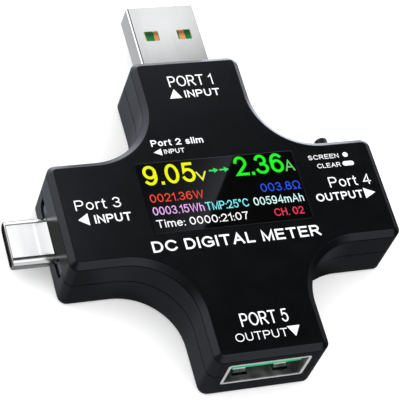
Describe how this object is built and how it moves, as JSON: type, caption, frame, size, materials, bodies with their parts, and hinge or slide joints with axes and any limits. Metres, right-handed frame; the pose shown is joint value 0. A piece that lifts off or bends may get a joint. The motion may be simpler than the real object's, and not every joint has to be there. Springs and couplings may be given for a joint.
{
  "type": "usb power meter",
  "caption": "Flat cross-shaped inline power meter with a plug or socket on each arm, a colour display and a push button.",
  "frame": {"origin": "centre of the cross, on the flat back face", "axes": "+Z out through the display, +Y along the arm with the type-A plug, -X along the arm with the type-C plug"},
  "size_m": [0.0623, 0.0688, 0.0117],
  "materials": {
    "cover_plastic": "fine-grained satin black",
    "screw_steel": "black-zinc plated",
    "window_glass": "polished, with a lit display under it",
    "foam": "closed-cell foam",
    "panel_glass": "polished",
    "white_plastic": "matt white",
    "black_plastic": "moulded matt black",
    "ribbon_film": "amber film",
    "ivory_plastic": "moulded ivory",
    "board_laminate": "solder mask",
    "plug_metal": "bright nickel plate",
    "collar_metal": "bright nickel plate",
    "socket_metal": "nickel plate",
    "contact_metal": "gold-flashed copper",
    "green_plastic": "moulded green",
    "button_plastic": "polished black",
    "spring_steel": "rolled",
    "chip_epoxy": "moulded epoxy",
    "ceramic_tan": "fired ceramic"
  },
  "bodies": {
    "housing": {"front_cover": "cover_plastic", "rear_cover": "cover_plastic", "cover_screws": "screw_steel", "display_window": "window_glass", "display_gasket": "foam", "display_panel": "panel_glass", "display_backlight": "white_plastic", "display_holder": "black_plastic", "display_ribbon": "ribbon_film", "ribbon_connector": "ivory_plastic", "main_board": "board_laminate", "type_a_plug_shell": "plug_metal", "type_a_plug_insulator": "green_plastic", "type_a_plug_contacts": "contact_metal", "type_a_socket_shell": "socket_metal", "type_a_socket_tongue": "green_plastic", "type_a_socket_contacts": "contact_metal", "type_c_plug_shell": "plug_metal", "type_c_plug_insulator": "black_plastic", "type_c_plug_contacts": "contact_metal", "type_c_plug_collar": "collar_metal", "type_c_socket_shell": "socket_metal", "type_c_socket_tongue": "black_plastic", "type_c_socket_contacts": "contact_metal", "micro_b_socket_shell": "socket_metal", "micro_b_socket_tongue": "black_plastic", "micro_b_socket_contacts": "contact_metal", "switch_body": "black_plastic", "switch_dome": "spring_steel", "switch_bracket": "socket_metal", "switch_terminals": "contact_metal", "microcontroller": "chip_epoxy", "shunt_resistor": "chip_epoxy", "voltage_regulator": "chip_epoxy", "power_inductor": "chip_epoxy", "ceramic_capacitors": "ceramic_tan", "chip_resistors": "chip_epoxy"},
    "button": {"button_cap": "button_plastic", "switch_plunger": "button_plastic"}
  },
  "joints": [
    {"name": "button_press", "type": "slide", "parent": "housing", "child": "button", "axis": [0, -1, 0], "range_m": [0, 0.00025], "stiffness_N_per_m": 6400}
  ]
}
